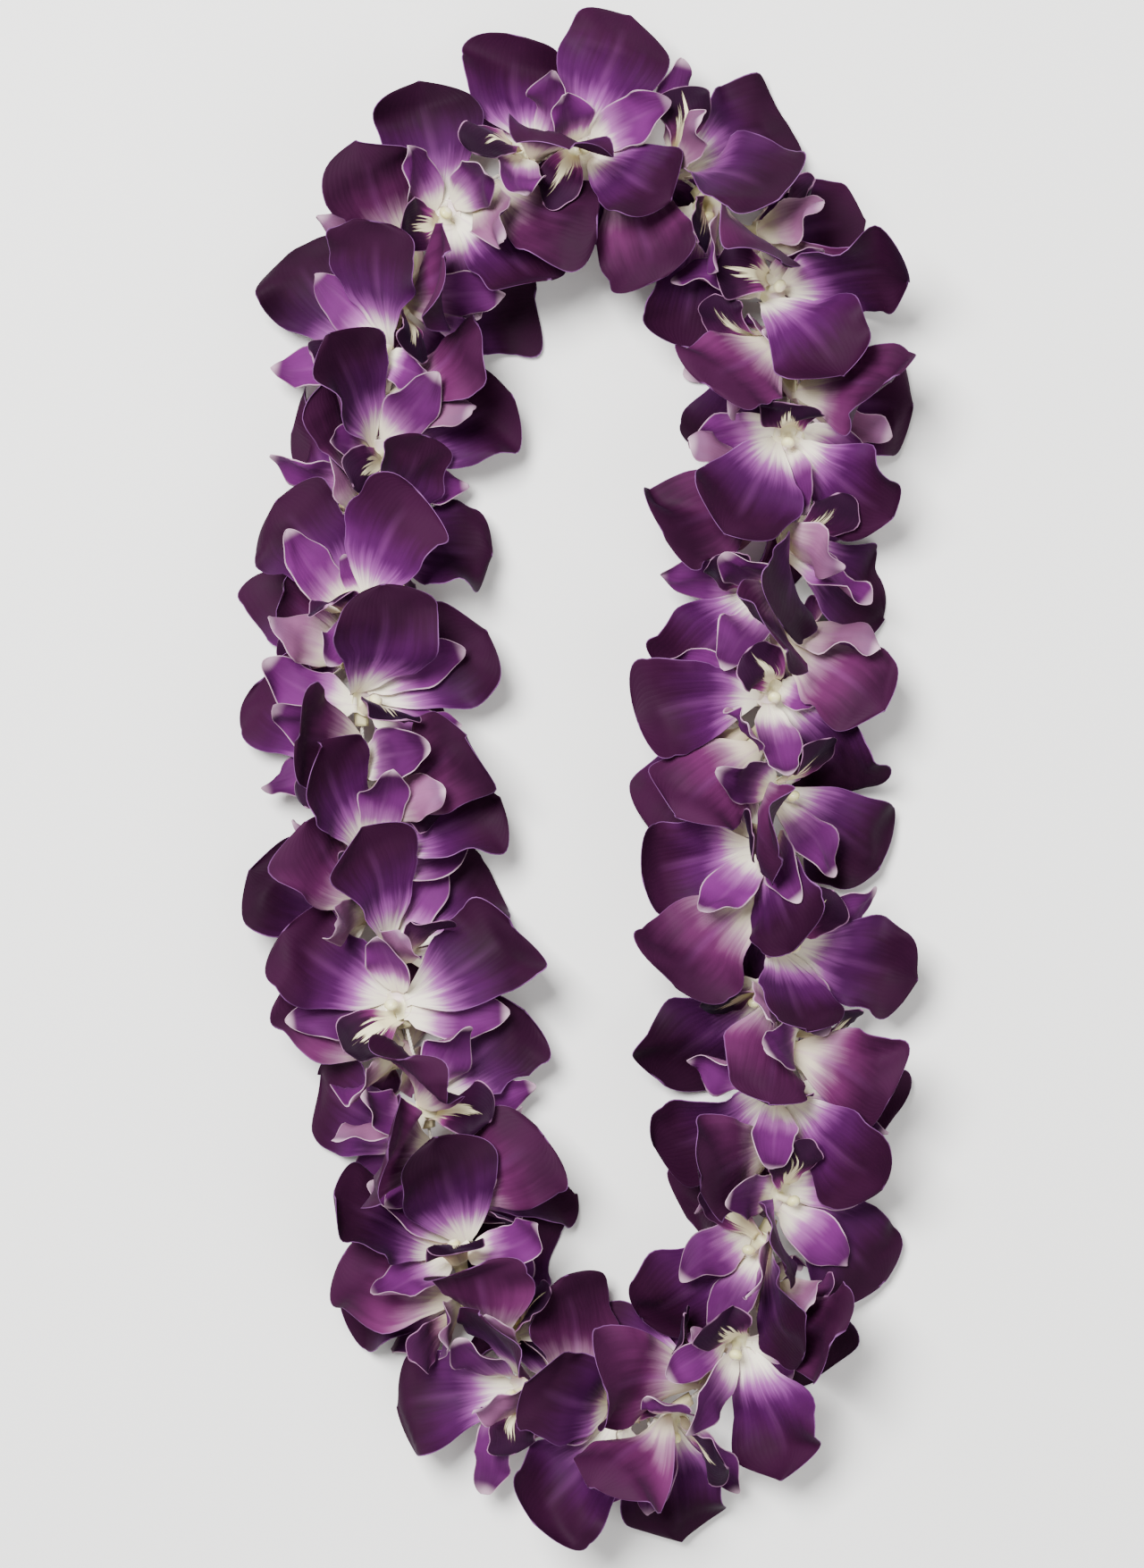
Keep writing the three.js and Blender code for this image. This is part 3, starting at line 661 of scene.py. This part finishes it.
def heart_part(f, blossom):
    """The skin of rings from the column's cap to the end of the neck."""
    angle = 2 * np.pi * np.arange(ROUND) / ROUND
    cos, sin = np.cos(angle)[:, None], np.sin(angle)[:, None]
    rim_lift = np.interp(angle, np.radians(np.arange(0, 361, 60)), RIM_LIFTS)[:, None]
    rings, zones, shares = [], [], []
    for height, radius, zone in COLUMN_PROFILE:
        lean = -COLUMN_LEAN * (max(height, 0) / COLUMN_LENGTH) ** 2
        centre = f["heart"] + f["face"] * height + f["dorsal"] * lean
        rings.append(centre + radius * (0.88 * cos * f["dorsal"] + sin * f["flank"]))
        zones.append(zone)
        shares.append(1 - height / COLUMN_TOP)
    for t in (0.2, 0.45, 0.7, 0.9, 1.0):
        radius = THROAT_START + (THROAT_RADIUS + 0.35 - THROAT_START) * t
        height = THROAT_FLOOR + (rim_lift + 0.25 - THROAT_FLOOR) * t ** 2.2
        rings.append(f["heart"] + f["face"] * height
                     + radius * (cos * f["dorsal"] + sin * f["flank"]))
        zones.append(WAX)
        shares.append(1 + t)
    bend_point = f["heart"] - f["face"] * NECK_BEND
    for u in (0.0, 0.1, 0.25, 0.42, 0.6, 0.78, 0.92, 1.0):
        centre = ((1 - u) ** 2 * (f["heart"] - f["face"] * 0.35) + 2 * u * (1 - u) * bend_point
                  + u ** 2 * f["neck_end"])
        side = unit(f["dorsal"] * (1 - u) - f["out"] * u)
        flank = unit(f["flank"] * (1 - u) + f["beside"] * u)
        radius = NECK_THIN + (THROAT_RADIUS + 0.3 - NECK_THIN) * (1 - u) ** 1.7
        radius = radius * (1 + NECK_RIB * np.cos(6 * angle)[:, None] * min(1, 3 * u))
        rings.append(centre + f["face"] * rim_lift * (1 - u) ** 3
                     + radius * (cos * side + sin * flank))
        zones.append(STALK)
        shares.append(2 + u)
    count = len(rings)
    top = f["heart"] + f["face"] * (COLUMN_TOP + 0.1) - f["dorsal"] * COLUMN_LEAN
    end = f["neck_end"] + f["along"] * 0.5
    points = np.concatenate([*rings, top[None], end[None]])
    points[:, 2] = np.maximum(points[:, 2], HEART_LOWEST)
    step = np.arange(ROUND)
    after = (step + 1) % ROUND
    ring = np.stack([step, step + ROUND, after + ROUND, after], -1)
    faces = np.concatenate([ring + k * ROUND for k in range(count - 1)]).tolist()
    tip, last = count * ROUND, (count - 1) * ROUND
    pairs = list(zip(step.tolist(), after.tolist()))
    faces += [[tip, p, q] for p, q in pairs]
    faces += [[tip + 1, last + q, last + p] for p, q in pairs]
    materials = np.repeat([*zones[:-1], CAP, STALK], ROUND)
    share = np.concatenate([np.repeat(shares, ROUND), [0, 3]])
    across = np.concatenate([np.tile(np.cos(angle), count), [0, 0]])
    return dict(points=points, faces=faces, share=share, across=across, back=0 * share,
                tone=draw(blossom, 0, 61, 0)[0], material=materials)


print("faces of a heart", len(heart_part(frames[0], 0)["faces"]))

# %% [markdown]
# ## Shader tools
# Every finish here is a net of shader nodes. These helpers place a node, set its sockets and
# make a node group with named inputs and outputs, so that each effect is drawn up only once.

# %% Helpers for shader nodes
def add(tree, kind, sockets=None, **settings):
    """Adds a node and gives its outputs. sockets maps inputs to values, or to what feeds them."""
    made = tree.nodes.new("ShaderNode" + kind)
    for key, value in settings.items():
        setattr(made, key, value)
    for key, value in (sockets or {}).items():
        if isinstance(value, bpy.types.NodeSocket):
            tree.links.new(value, made.inputs[key])
        else:
            made.inputs[key].default_value = value
    return made.outputs


def maths(tree, operation, *values):
    return add(tree, "Math", dict(enumerate(values)), operation=operation)[0]


def smooth_step(tree, value, low, high):
    """0 below low, 1 above high and an S-shaped rise between."""
    sockets = {"Value": value, "From Min": low, "From Max": high}
    return add(tree, "MapRange", sockets, interpolation_type="SMOOTHSTEP")[0]


def mix_colours(tree, amount, first, second, how="MIX"):
    return add(tree, "Mix", {0: amount, 6: first, 7: second}, data_type="RGBA", blend_type=how)[2]


def new_group(name, inputs, outputs):
    """An empty node group. Socket kinds are guessed from the defaults: a number or a colour."""
    tree = bpy.data.node_groups.new(name, "ShaderNodeTree")
    for label, value in inputs.items():
        kind = "NodeSocketFloat" if isinstance(value, float) else "NodeSocketColor"
        tree.interface.new_socket(label, in_out="INPUT", socket_type=kind).default_value = value
    for label, kind in outputs.items():
        tree.interface.new_socket(label, in_out="OUTPUT", socket_type="NodeSocket" + kind)
    return tree, tree.nodes.new("NodeGroupInput").outputs, tree.nodes.new("NodeGroupOutput").inputs


def place_group(tree, group, sockets):
    return add(tree, "Group", sockets, node_tree=group)


print("shader helpers ready")

# %% [markdown]
# ## Veins
# Fine veins fan out from the root of each blade and run on side by side to the margin. Across
# counts from one margin to the other at every row, so lines of equal Across fan out just so.
# Stretched noise breaks them into streaks, and a sine of Across gives the shallow ribs.

# %% Group: veins that fan out along a blade
veins, v_in, v_out = new_group(
    "fanned_veins", {"Share": 0.0, "Across": 0.0, "Shift": 0.0, "Count": 9.0},
    {"Streak": "Float", "Ribs": "Float"})
spread = maths(veins, "MULTIPLY", v_in["Across"], v_in["Count"])
stretched = add(veins, "CombineXYZ", {
    "X": spread, "Y": maths(veins, "MULTIPLY", v_in["Share"], 1.7),
    "Z": maths(veins, "MULTIPLY", v_in["Shift"], 50.0)})[0]
streaks = add(veins, "TexNoise", {"Vector": stretched, "Scale": 0.62, "Detail": 4.0,
                                  "Roughness": 0.62})[0]
veins.links.new(smooth_step(veins, streaks, 0.3, 0.7), v_out["Streak"])
waver = maths(veins, "MULTIPLY", streaks, 2.5)
phase = maths(veins, "MULTIPLY_ADD", spread, 3.0, waver)
veins.links.new(maths(veins, "ABSOLUTE", maths(veins, "SINE", phase)), v_out["Ribs"])
print("group", veins.name)

# %% [markdown]
# ## The fade from white throat to violet tip
# Pigment is laid down from the tip inwards, so each blade is cream at its root, flushes to
# magenta and deepens to violet. Veins carry the colour further in, which leaves the border
# streaky. The group adds the streaks to Share and blends four colours at three borders.

# %% Group: four colours along a blade
STOPS = ("Root", "Flush", "Body", "Tip")
BORDERS = ("Flush At", "Body At", "Tip At")
fade, f_in, f_out = new_group(
    "fade_to_tip", {"Share": 0.0, "Streak": 0.5, "Streakiness": 0.2,
                    **dict(zip(BORDERS, (0.2, 0.4, 0.75))),
                    **dict.fromkeys(STOPS, (1, 1, 1, 1))}, {"Colour": "Color"})
streak = maths(fade, "SUBTRACT", f_in["Streak"], 0.5)
reached = maths(fade, "MULTIPLY_ADD", streak, f_in["Streakiness"], f_in["Share"])
colour = f_in["Root"]
for border, following, softness in zip(BORDERS, STOPS[1:], (0.11, 0.16, 0.22)):
    low = maths(fade, "SUBTRACT", f_in[border], softness)
    high = maths(fade, "ADD", f_in[border], softness)
    colour = mix_colours(fade, smooth_step(fade, reached, low, high), colour, f_in[following])
fade.links.new(colour, f_out["Colour"])
print("group", fade.name)

# %% [markdown]
# ## The pale margin
# The margin of an orchid petal is a thin pale line with almost no pigment. It shows where one
# dark petal lies over the next, so it draws the whole garland. Sepals end in a pale tip too.
# Width and Tip say how far in the pale colour comes.

# %% Group: a thin line along the margin
margin, m_in, m_out = new_group("thin_margin", {"Share": 0.0, "Across": 0.0, "Width": 0.05,
                                                "Tip": 0.02}, {"Mask": "Float"})
inside = maths(margin, "SUBTRACT", 1.0, m_in["Width"])
at_side = smooth_step(margin, maths(margin, "ABSOLUTE", m_in["Across"]), inside, 1.0)
at_tip = smooth_step(margin, m_in["Share"], maths(margin, "SUBTRACT", 1.0, m_in["Tip"]), 1.0)
margin.links.new(maths(margin, "MAXIMUM", at_side, at_tip), m_out["Mask"])
print("group", margin.name)

# %% [markdown]
# ## Living skin
# A petal's skin is a layer of tiny domed cells, which gives a satin sheen, and fresh
# petals are mottled where they were pressed. One group puts out broad patches, for colour and
# gloss, and a fine grain, for the bump.

# %% Group: patches and cell grain
skin, s_in, s_out = new_group("living_skin", {"Patch Scale": 60.0, "Grain Scale": 2600.0,
                                              "Shift": 0.0},
                              {"Patches": "Float", "Grain": "Float"})
where = add(skin, "TexCoord")["Object"]
shifted = add(skin, "CombineXYZ", {"X": s_in["Shift"], "Y": 0.0, "Z": 0.0})[0]
moved = add(skin, "VectorMath", {0: where, 1: shifted}, operation="ADD")[0]
patches = add(skin, "TexNoise", {"Vector": moved, "Scale": s_in["Patch Scale"], "Detail": 3.0})
skin.links.new(smooth_step(skin, patches[0], 0.32, 0.68), s_out["Patches"])
cells = add(skin, "TexVoronoi", {"Vector": where, "Scale": s_in["Grain Scale"]})
skin.links.new(cells["Distance"], s_out["Grain"])
print("group", skin.name)

# %% [markdown]
# ## Petal and sepal satin
# Petals and sepals share one recipe with their own colours. The front fades from cream to
# violet, the back stays paler, and a pale band along the midrib near the root is a painted
# highlight. The patches darken or lift the colour a little. The shader is a Principled BSDF,
# whose sheen stands for the domed cells.

# %% Recipe for the satin of a blade
VALUES = ("share", "across", "back", "tone")


def read_values(tree, *names):
    return [add(tree, "Attribute", attribute_name=name)["Fac"] for name in names]


def feed_surface(tree, surface, colour, roughness, bump):
    """Feeds the surface. roughness is a mask, its weight and what is added, and bump is a
    strength, a distance and a height."""
    rough = maths(tree, "MULTIPLY_ADD", *roughness)
    normal = add(tree, "Bump", dict(zip(("Strength", "Distance", "Height"), bump)))[0]
    for key, value in {"Base Color": colour, "Roughness": rough, "Normal": normal}.items():
        tree.links.new(value, surface.inputs[key])


def blade_finish(name, front, back, borders, rim, ribs, rim_width, pale_tip):
    """A finish for one kind of blade. front and back are root, flush, body and tip colours."""
    finish, tree, surface = new_finish(name)
    share, across, behind, tone = read_values(tree, *VALUES)
    vein = place_group(tree, veins, {"Share": share, "Across": across, "Shift": tone,
                                     "Count": ribs})
    cells_of = place_group(tree, skin, {"Shift": tone})
    faded = []
    for colours, reach in ((front, 0.0), (back, 0.06)):
        faded.append(place_group(tree, fade, {
            "Share": share, "Streak": vein["Streak"], "Streakiness": 0.09,
            **dict(zip(BORDERS, (border + reach for border in borders))),
            **dict(zip(STOPS, map(linear, colours)))})["Colour"])
    colour = mix_colours(tree, behind, *faded)
    # A pale band along the midrib, fading out towards the tip, is a painted highlight in the flush
    # colour.
    off_middle = smooth_step(tree, maths(tree, "ABSOLUTE", across), 0.0, 0.16)
    midrib_highlight = maths(tree, "MULTIPLY", maths(tree, "SUBTRACT", 1.0, off_middle),
                 maths(tree, "MULTIPLY_ADD", share, -0.3, 0.26))
    colour = mix_colours(tree, midrib_highlight, colour, linear(front[1]))
    mottle = maths(tree, "MULTIPLY_ADD", cells_of["Patches"], 0.2, 0.33)
    mottle = maths(tree, "MULTIPLY_ADD", tone, 0.42, mottle)
    shade = add(tree, "CombineColor", {"Red": mottle, "Green": mottle, "Blue": mottle})[0]
    strength = maths(tree, "MULTIPLY_ADD", smooth_step(tree, share, 0.08, 0.42), 0.8, 0.2)
    colour = mix_colours(tree, strength, colour, shade, "MULTIPLY")
    line = place_group(tree, margin, {"Share": share, "Across": across, "Width": rim_width,
                                      "Tip": pale_tip})
    faint = maths(tree, "MULTIPLY_ADD", cells_of["Patches"], 0.6, 0.2)
    colour = mix_colours(tree, maths(tree, "MULTIPLY", line["Mask"], faint), colour, linear(rim))
    height = maths(tree, "MULTIPLY_ADD", cells_of["Grain"], 0.5, vein["Ribs"])
    feed_surface(tree, surface, colour, roughness=(cells_of["Patches"], 0.14, 0.58),
                 bump=(0.18, 0.00018, height))
    surface.inputs["Specular IOR Level"].default_value = 0.07
    surface.inputs["Sheen Weight"].default_value = 0.02
    surface.inputs["Sheen Roughness"].default_value = 0.4
    surface.inputs["Sheen Tint"].default_value = linear("c9a8e6")
    return finish


petal_satin = blade_finish(
    "petal_satin", front=("f3ecd8", "b162b2", "4e1652", "310b2a"),
    back=("dccfb6", "b385a2", "652658", "3c1334"), borders=(0.19, 0.3, 0.56),
    rim="8c5a94", ribs=10.0, rim_width=0.02, pale_tip=0.007)
sepal_satin = blade_finish(
    "sepal_satin", front=("f0e8d2", "af69ac", "672468", "4f174e"),
    back=("dacfb2", "c8a2b0", "955c85", "8e6289"), borders=(0.2, 0.36, 0.8),
    rim="d6b4c6", ribs=6.0, rim_width=0.06, pale_tip=0.12)
print("finishes", petal_satin.name, sepal_satin.name)

# %% [markdown]
# ## The lip
# The lip is the landing place for a pollinator: near black-purple velvet with a cream flame that
# licks out from the throat in feathered tongues. The flame is a mask of the distance from the
# middle line and from the throat, and the veins' streaks tear its border.

# %% Finish for the lip
lip_velvet = blade_finish(
    "lip_velvet", front=("e2d9b0", "943e80", "3c1036", "270a26"),
    back=("cdbf9e", "ad7b94", "672d5e", "451a42"), borders=(0.2, 0.36, 0.6),
    rim="c08ab4", ribs=9.0, rim_width=0.05, pale_tip=0.02)
tree = lip_velvet.node_tree
surface = tree.nodes["Principled BSDF"]
share, across, behind, tone = read_values(tree, *VALUES)
tongues = place_group(tree, veins, {"Share": share, "Across": across, "Shift": tone,
                                    "Count": 16.0})
torn = maths(tree, "MULTIPLY_ADD", tongues["Streak"], 0.9, -0.45)
past_throat = maths(tree, "MAXIMUM", maths(tree, "SUBTRACT", share, 0.28), 0.0)
depth = maths(tree, "MULTIPLY_ADD", past_throat, 1.9, torn)
depth = maths(tree, "MULTIPLY_ADD", maths(tree, "ABSOLUTE", across), 1.7, depth)
flame = maths(tree, "SUBTRACT", 1.0, smooth_step(tree, depth, 0.62, 0.9))
flame = maths(tree, "MULTIPLY", flame, maths(tree, "SUBTRACT", 1.0, behind))
plain = surface.inputs["Base Color"].links[0].from_socket
tree.links.new(mix_colours(tree, flame, plain, linear("e9e0b4")), surface.inputs["Base Color"])
surface.inputs["Sheen Weight"].default_value = 0.05
print("finish", lip_velvet.name)

# %% [markdown]
# ## Waxy throat, cap and neck
# The throat and column are smooth and waxy, cream with faint green patches. The cap is a clearer
# yellow-cream. The neck is a greenish stalk with a flush of purple down one side.

# %% Finishes for throat, cap and neck
def waxy_finish(name, light, dark, flush, roughness, coat):
    """A waxy finish that wanders between two colours, with a flush where Across is high."""
    finish, tree, surface = new_finish(name)
    across, tone = read_values(tree, "across", "tone")
    cells_of = place_group(tree, skin, {"Patch Scale": 170.0, "Shift": tone})
    colour = mix_colours(tree, cells_of["Patches"], linear(light), linear(dark))
    side = smooth_step(tree, across, 0.3, 1.2)
    colour = mix_colours(tree, side, colour, linear(flush))
    feed_surface(tree, surface, colour, roughness=(cells_of["Patches"], 0.15, roughness),
                 bump=(0.25, 0.0002, cells_of["Grain"]))
    surface.inputs["Coat Weight"].default_value = coat
    return finish


throat_wax = waxy_finish("throat_wax", "e4ddc0", "d5d0a2", "dcc6cc", 0.38, 0.15)
column_cap = waxy_finish("column_cap", "ece6b2", "dcd690", "efe9c8", 0.3, 0.3)
neck_skin = waxy_finish("neck_skin", "c3bd8c", "b3a583", "b58d9d", 0.45, 0.1)
FINISHES = [petal_satin, sepal_satin, lip_velvet, throat_wax, column_cap, neck_skin]
print("finishes", [finish.name for finish in FINISHES])

# %% [markdown]
# ## Threading the blossoms
# Each blossom becomes one mesh: six blades and the skin of its heart. It takes the place of its
# CAD node, which stays behind it for collisions, and rides with the one body of the lei.

# %% Build all blossoms
def place_piece(name, points, faces):
    """A smooth mesh object from points in millimetres, before the shift."""
    mesh = bpy.data.meshes.new(name)
    mesh.from_pydata(((points + shift) * MM).tolist(), [], faces)
    mesh.polygons.foreach_set("use_smooth", [True] * len(mesh.polygons))
    piece = new_object(name, mesh)
    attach(piece, "root")
    return piece


def joined(parts):
    """The points and faces of several closed parts, given as pairs of both, in one mesh."""
    points, faces, first = [], [], 0
    for part_points, part_faces in parts:
        points.append(part_points)
        faces += [[corner + first for corner in face] for face in part_faces]
        first += len(part_points)
    return np.concatenate(points), faces


def build_blossom(blossom):
    f = frames[blossom]
    parts = [blade_part(f, blossom, index, bends[blossom][index]) for index in range(len(FLOWER))]
    parts.append(heart_part(f, blossom))
    points, faces = joined((part["points"], part["faces"]) for part in parts)
    piece = place_piece(f"orchid_{blossom + 1:02d}", points, faces)
    for finish in FINISHES:
        piece.data.materials.append(finish)
    own = [np.broadcast_to(part["material"], len(part["faces"])) for part in parts]
    piece.data.polygons.foreach_set("material_index", np.concatenate(own).tolist())
    for key in VALUES:
        values = [np.broadcast_to(part[key], len(part["points"])) for part in parts]
        layer = piece.data.attributes.new(key, "FLOAT", "POINT")
        layer.data.foreach_set("value", np.concatenate(values).astype(np.float32))
    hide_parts(f"blossom_{blossom + 1:02d}")
    return piece


orchids = [build_blossom(b) for b in range(BLOSSOM_COUNT)]
triangles = sum(len(p.vertices) - 2 for o in orchids for p in o.data.polygons)
print("blossoms", len(orchids), "triangles", triangles)

# %% [markdown]
# ## The cotton thread
# The thread is three plies of cotton twisted round each other. It runs straight through every
# neck and bends only between blossoms, and its ends meet in one small knot with two short
# tails. Each ply is a thin tube wound round the route.

# %% Twist the thread and tie the knot
def tube_part(path, radius, sides=5, closed=False):
    """Points and faces of a tube along a path, with its ends closed unless the path is."""
    way = unit(np.roll(path, -1, 0) - np.roll(path, 1, 0) if closed
               else np.gradient(path, axis=0))
    level = unit(np.cross(way, UP) + 1e-9)
    over = np.cross(level, way)
    angle = 2 * np.pi * np.arange(sides) / sides
    rings = (path[:, None] + radius * (np.cos(angle)[:, None] * level[:, None]
             + np.sin(angle)[:, None] * over[:, None]))
    count = len(path)
    k, j = np.meshgrid(np.arange(count if closed else count - 1), np.arange(sides), indexing="ij")
    here, there = k * sides, ((k + 1) % count) * sides
    quads = np.stack([here + j, here + (j + 1) % sides, there + (j + 1) % sides, there + j], -1)
    faces = quads.reshape(-1, 4)[:, ::-1].tolist()
    if not closed:
        faces += [list(range(sides)), [(count - 1) * sides + i for i in range(sides)][::-1]]
    return rings.reshape(-1, 3), faces


corner_stops = np.sort(rings % ROUTE_LENGTH)
corner_places = thread_place(corner_stops)[0]
PLY_STEP, PLY_TURN, PLY_RADIUS = 0.55, 3.3, 0.3
steps = np.arange(0, ROUTE_LENGTH, PLY_STEP)
straight = np.stack([np.interp(steps, corner_stops, corner_places[:, k], period=ROUTE_LENGTH)
                     for k in range(3)], 1)
side_way = unit(np.cross(thread_place(steps)[1], UP))
parts = []
turns = round(ROUTE_LENGTH / PLY_TURN)
for ply in range(3):
    wind = 2 * np.pi * (turns * steps / ROUTE_LENGTH + ply / 3)
    offset = np.cos(wind)[:, None] * UP + np.sin(wind)[:, None] * side_way
    parts.append(tube_part(straight + PLY_RADIUS * offset, PLY_RADIUS, closed=True))

KNOT_AFTER_BLOSSOM, KNOT_SIZE, KNOT_RADIUS = 28, 0.34, 0.36
TAIL_LENGTH, TAIL_RADIUS = 6, 0.42
knot_at = (station_of(KNOT_AFTER_BLOSSOM)[1] + station_of(KNOT_AFTER_BLOSSOM + 1)[0]) / 2
knot_place, knot_way = [v[0] for v in thread_place(knot_at)]
knot_side = unit(np.cross(knot_way, UP))
t = np.linspace(0, 2 * np.pi, 72, endpoint=False)[:, None]
trefoil = ((np.sin(t) + 2 * np.sin(2 * t)) * knot_way + (np.cos(t) - 2 * np.cos(2 * t)) * knot_side
           - np.sin(3 * t) * UP)
parts.append(tube_part(knot_place + KNOT_SIZE * trefoil, KNOT_RADIUS, sides=8, closed=True))
for side in (-1, 1):
    u = np.linspace(0, 1, 14)[:, None]
    tail = knot_side * 0.8 * side + UP * 0.6
    path = knot_place + TAIL_LENGTH * u * tail + 0.5 * np.sin(5 * u) * knot_way * u
    parts.append(tube_part(path, TAIL_RADIUS, sides=7))

points, faces = joined(parts)
thread = place_piece("twisted_thread", points, faces)
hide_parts("thread")
print("thread faces", len(faces))

# %% [markdown]
# ## Cotton
# Cotton is matt and a little uneven. Fine noise varies its colour and height, and small cells
# vary its roughness.

# %% Finish for the cotton
cotton, tree, surface = new_finish("twisted_cotton")
fibres = place_group(tree, skin, {"Patch Scale": 900.0, "Grain Scale": 5200.0})
colour = mix_colours(tree, fibres["Patches"], linear("d8d0bd"), linear("f0ebdf"))
feed_surface(tree, surface, colour, roughness=(fibres["Grain"], 0.2, 0.75),
             bump=(0.5, 0.0001, fibres["Patches"]))
thread.data.materials.append(cotton)
print("finish", cotton.name)
